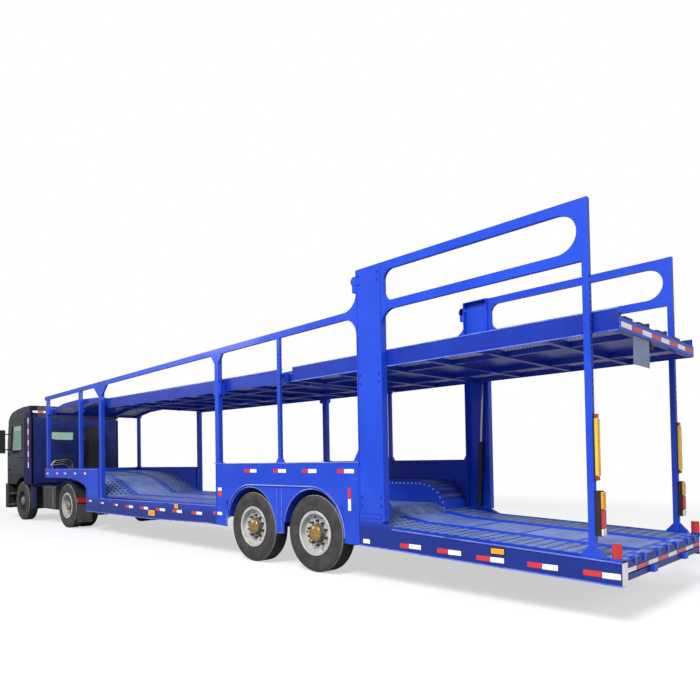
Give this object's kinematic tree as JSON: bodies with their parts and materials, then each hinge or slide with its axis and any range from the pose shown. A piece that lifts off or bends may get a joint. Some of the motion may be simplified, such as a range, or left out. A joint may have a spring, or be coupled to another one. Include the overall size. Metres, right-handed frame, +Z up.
{
  "type": "car transporter truck",
  "caption": "Articulated car transporter: navy tractor pulling a bright blue two-deck trailer with steel wheel tracks, posts, guard rails and a tilting rear upper deck.",
  "frame": {"origin": "On the ground, at the centre of the box around the whole truck.", "axes": "+X forwards (towards the cab), +Y to the truck's left, +Z up."},
  "size_m": [16.95, 3.04, 3.89],
  "materials": {
    "cab_paint": "gloss",
    "trailer_paint": "gloss",
    "chassis_black": "satin",
    "rod_chrome": "polished",
    "cast_iron": "rough",
    "glass": "clear",
    "floor_steel": "satin",
    "seat_cloth": "matte",
    "dark_plastic": "matte",
    "tank_aluminium": "satin",
    "lamp_plastic": "gloss",
    "plate_paint": "satin",
    "tyre": "matte",
    "rim_paint": "gloss"
  },
  "bodies": {
    "tractor": {"tractor_frame": "chassis_black", "front_axle": "chassis_black", "drive_axle": "chassis_black", "fifth_wheel": "chassis_black", "engine_block": "cast_iron", "cab_shell": "cab_paint", "cab_roof": "cab_paint", "cab_front": "cab_paint", "cab_glass": "glass", "front_bumper": "chassis_black", "cab_steps": "chassis_black", "mirrors": "chassis_black", "seats": "seat_cloth", "dashboard": "dark_plastic", "fuel_tank": "tank_aluminium", "battery_box": "chassis_black", "intake_stack": "chassis_black", "drive_mudguards": "chassis_black"},
    "trailer": {"front_frame": "trailer_paint", "lower_floor": "floor_steel", "wheel_box": "trailer_paint", "rear_frame": "trailer_paint", "side_posts": "trailer_paint", "lift_towers": "trailer_paint", "guard_rails": "trailer_paint", "front_upper_deck": "trailer_paint", "trailer_axles": "chassis_black", "landing_legs": "chassis_black", "tail_lamps": "lamp_plastic", "loading_ramps": "floor_steel"},
    "door_left": {"door_left": "cab_paint", "door_glass_left": "glass"},
    "door_right": {"door_right": "cab_paint", "door_glass_right": "glass"},
    "knuckle_left": {"knuckle_left": "cast_iron"},
    "knuckle_right": {"knuckle_right": "cast_iron"},
    "steer_wheel_left": {"steer_tyre_left": "tyre", "steer_rim_left": "rim_paint"},
    "steer_wheel_right": {"steer_tyre_right": "tyre", "steer_rim_right": "rim_paint"},
    "drive_wheels_left": {"drive_tyres_left": "tyre", "drive_rims_left": "rim_paint"},
    "drive_wheels_right": {"drive_tyres_right": "tyre", "drive_rims_right": "rim_paint"},
    "bogie_wheel_1_left": {"bogie_tyre_1_left": "tyre", "bogie_rim_1_left": "rim_paint"},
    "bogie_wheel_1_right": {"bogie_tyre_1_right": "tyre", "bogie_rim_1_right": "rim_paint"},
    "bogie_wheel_2_left": {"bogie_tyre_2_left": "tyre", "bogie_rim_2_left": "rim_paint"},
    "bogie_wheel_2_right": {"bogie_tyre_2_right": "tyre", "bogie_rim_2_right": "rim_paint"},
    "rear_deck": {"rear_upper_deck": "trailer_paint", "number_plate": "plate_paint"},
    "lift_barrel_left": {"lift_barrel_left": "chassis_black"},
    "lift_barrel_right": {"lift_barrel_right": "chassis_black"},
    "lift_rod_left": {"lift_rod_left": "rod_chrome"},
    "lift_rod_right": {"lift_rod_right": "rod_chrome"}
  },
  "joints": [
    {"name": "trailer_pivot", "type": "hinge", "parent": "tractor", "child": "trailer", "pos_m": [4.425, 0, 1.18], "axis": [0, 0, 1], "range_deg": [-70, 70]},
    {"name": "steering_left", "type": "hinge", "parent": "tractor", "child": "knuckle_left", "pos_m": [7.025, 0.88, 0.49], "axis": [0, 0, 1], "range_deg": [-35, 35]},
    {"name": "steering_right", "type": "hinge", "parent": "tractor", "child": "knuckle_right", "pos_m": [7.025, -0.88, 0.49], "axis": [0, 0, 1], "range_deg": [-35, 35]},
    {"name": "steer_wheel_left_spin", "type": "hinge", "parent": "knuckle_left", "child": "steer_wheel_left", "pos_m": [7.025, 1.096, 0.525], "axis": [0, 1, 0], "continuous": true},
    {"name": "drive_wheels_left_spin", "type": "hinge", "parent": "tractor", "child": "drive_wheels_left", "pos_m": [3.925, 0.9385, 0.525], "axis": [0, 1, 0], "continuous": true},
    {"name": "bogie_wheel_1_left_spin", "type": "hinge", "parent": "trailer", "child": "bogie_wheel_1_left", "pos_m": [-4.56, 1.096, 0.525], "axis": [0, 1, 0], "continuous": true},
    {"name": "bogie_wheel_2_left_spin", "type": "hinge", "parent": "trailer", "child": "bogie_wheel_2_left", "pos_m": [-3.22, 1.096, 0.525], "axis": [0, 1, 0], "continuous": true},
    {"name": "steer_wheel_right_spin", "type": "hinge", "parent": "knuckle_right", "child": "steer_wheel_right", "pos_m": [7.025, -1.096, 0.525], "axis": [0, 1, 0], "continuous": true},
    {"name": "drive_wheels_right_spin", "type": "hinge", "parent": "tractor", "child": "drive_wheels_right", "pos_m": [3.925, -0.9385, 0.525], "axis": [0, 1, 0], "continuous": true},
    {"name": "bogie_wheel_1_right_spin", "type": "hinge", "parent": "trailer", "child": "bogie_wheel_1_right", "pos_m": [-4.56, -1.096, 0.525], "axis": [0, 1, 0], "continuous": true},
    {"name": "bogie_wheel_2_right_spin", "type": "hinge", "parent": "trailer", "child": "bogie_wheel_2_right", "pos_m": [-3.22, -1.096, 0.525], "axis": [0, 1, 0], "continuous": true},
    {"name": "door_left_hinge", "type": "hinge", "parent": "tractor", "child": "door_left", "pos_m": [8.088, 1.2403, 1.9], "axis": [0, 0, -1], "range_deg": [0, 65]},
    {"name": "door_right_hinge", "type": "hinge", "parent": "tractor", "child": "door_right", "pos_m": [8.088, -1.2403, 1.9], "axis": [0, 0, 1], "range_deg": [0, 65]},
    {"name": "rear_deck_hinge", "type": "hinge", "parent": "trailer", "child": "rear_deck", "pos_m": [-3.975, 0, 2.7], "axis": [0, -1, 0], "range_deg": [0, 22]},
    {"name": "lift_barrel_left_swing", "type": "hinge", "parent": "trailer", "child": "lift_barrel_left", "pos_m": [-5.62, 1.222, 0.805], "axis": [0, 1, 0], "range_deg": [0, 4.5]},
    {"name": "lift_rod_left_slide", "type": "slide", "parent": "lift_barrel_left", "child": "lift_rod_left", "axis": [0.0514, 0, -0.9987], "range_m": [0, 0.7]},
    {"name": "lift_barrel_right_swing", "type": "hinge", "parent": "trailer", "child": "lift_barrel_right", "pos_m": [-5.62, -1.222, 0.805], "axis": [0, 1, 0], "range_deg": [0, 4.5]},
    {"name": "lift_rod_right_slide", "type": "slide", "parent": "lift_barrel_right", "child": "lift_rod_right", "axis": [0.0514, 0, -0.9987], "range_m": [0, 0.7]}
  ],
  "couplings": [
    {"joint": "steering_right", "follows": "steering_left", "ratio": 1},
    {"joint": "lift_rod_left_slide", "follows": "rear_deck_hinge", "m_per_rad": 1.71},
    {"joint": "lift_rod_right_slide", "follows": "rear_deck_hinge", "m_per_rad": 1.71},
    {"joint": "lift_barrel_left_swing", "follows": "rear_deck_hinge", "ratio": 0.2},
    {"joint": "lift_barrel_right_swing", "follows": "rear_deck_hinge", "ratio": 0.2}
  ]
}
